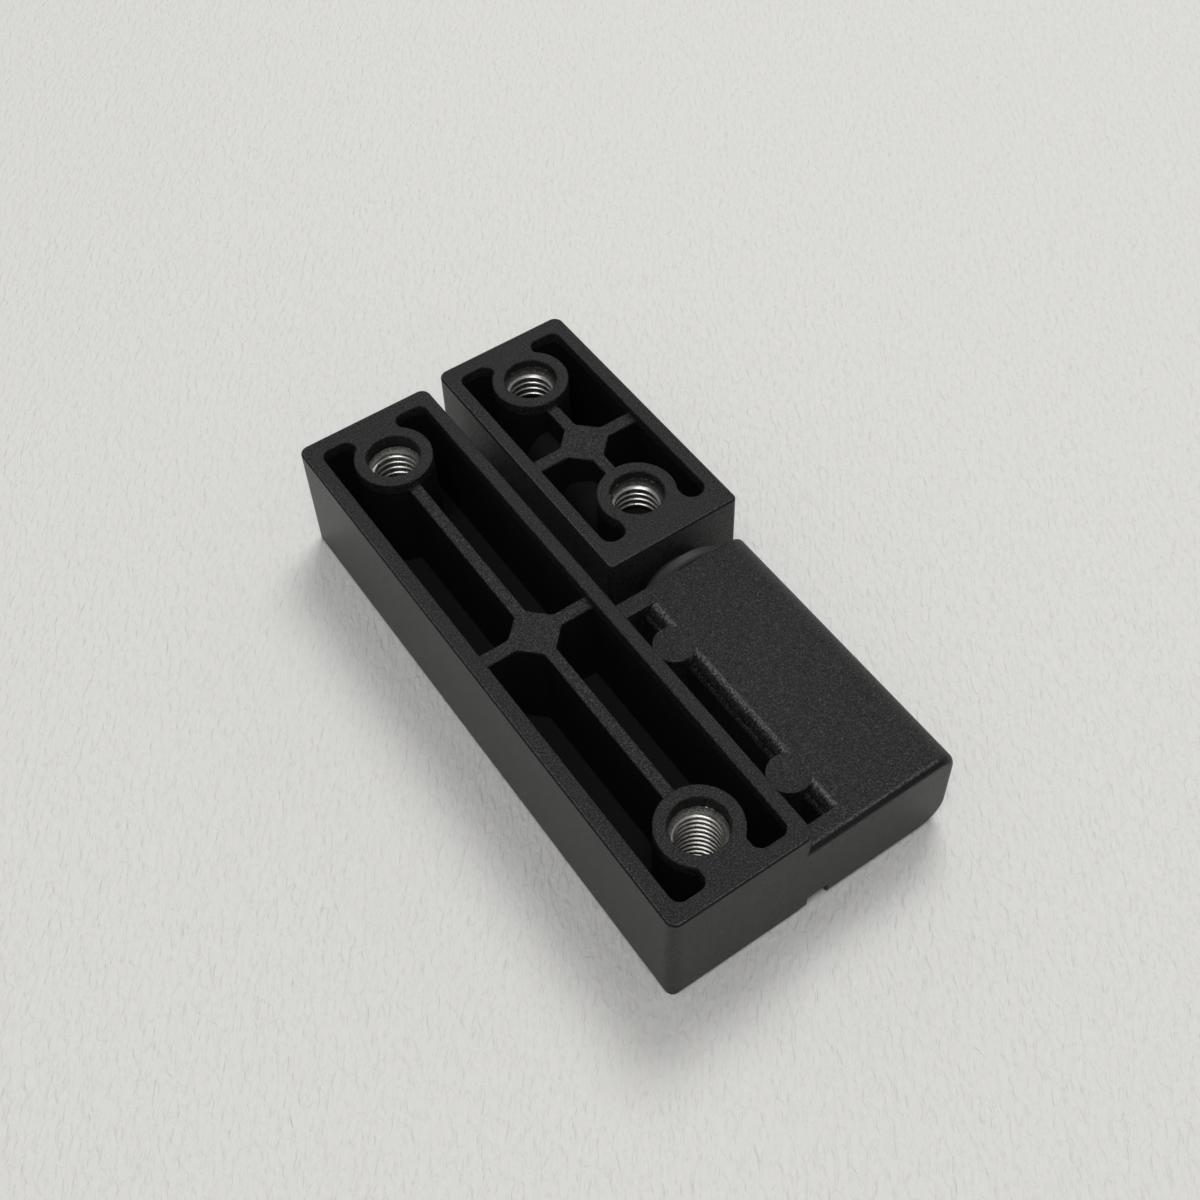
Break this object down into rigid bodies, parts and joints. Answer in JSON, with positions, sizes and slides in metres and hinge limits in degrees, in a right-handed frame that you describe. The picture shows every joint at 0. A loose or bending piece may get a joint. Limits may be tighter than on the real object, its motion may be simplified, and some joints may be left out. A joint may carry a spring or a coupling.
{
  "type": "lift-off hinge",
  "caption": "Lift-off hinge with hollow moulded leaves, threaded inserts for screws from behind, and a pin the shorter leaf turns on and slides off.",
  "frame": {"origin": "midway between the frame leaf's two screw holes, on the mounting face", "axes": "+X from the frame leaf to the door leaf, +Y along the pin towards its free end, +Z out of the mounting face"},
  "size_m": [0.0505, 0.1017, 0.0212],
  "materials": {
    "leaf_plastic": "black glass-filled nylon, fine spark-eroded texture",
    "pin_steel": "ground steel",
    "washer_plastic": "grey acetal",
    "bush_plastic": "grey acetal",
    "insert_steel": "zinc-plated steel, machined thread"
  },
  "bodies": {
    "frame": {"frame_leaf": "leaf_plastic", "hinge_pin": "pin_steel", "frame_insert_near": "insert_steel", "frame_insert_far": "insert_steel"},
    "washer": {"thrust_washer": "washer_plastic"},
    "door": {"door_leaf": "leaf_plastic", "door_bush": "bush_plastic", "door_insert_near": "insert_steel", "door_insert_far": "insert_steel"}
  },
  "joints": [
    {"name": "door_swing", "type": "hinge", "parent": "frame", "child": "washer", "pos_m": [0.0266, 0, -0.0121], "axis": [0, 1, 0], "range_deg": [0, 180]},
    {"name": "lift_off", "type": "slide", "parent": "washer", "child": "door", "axis": [0, 1, 0], "range_m": [-0.00115, 0.034]}
  ]
}
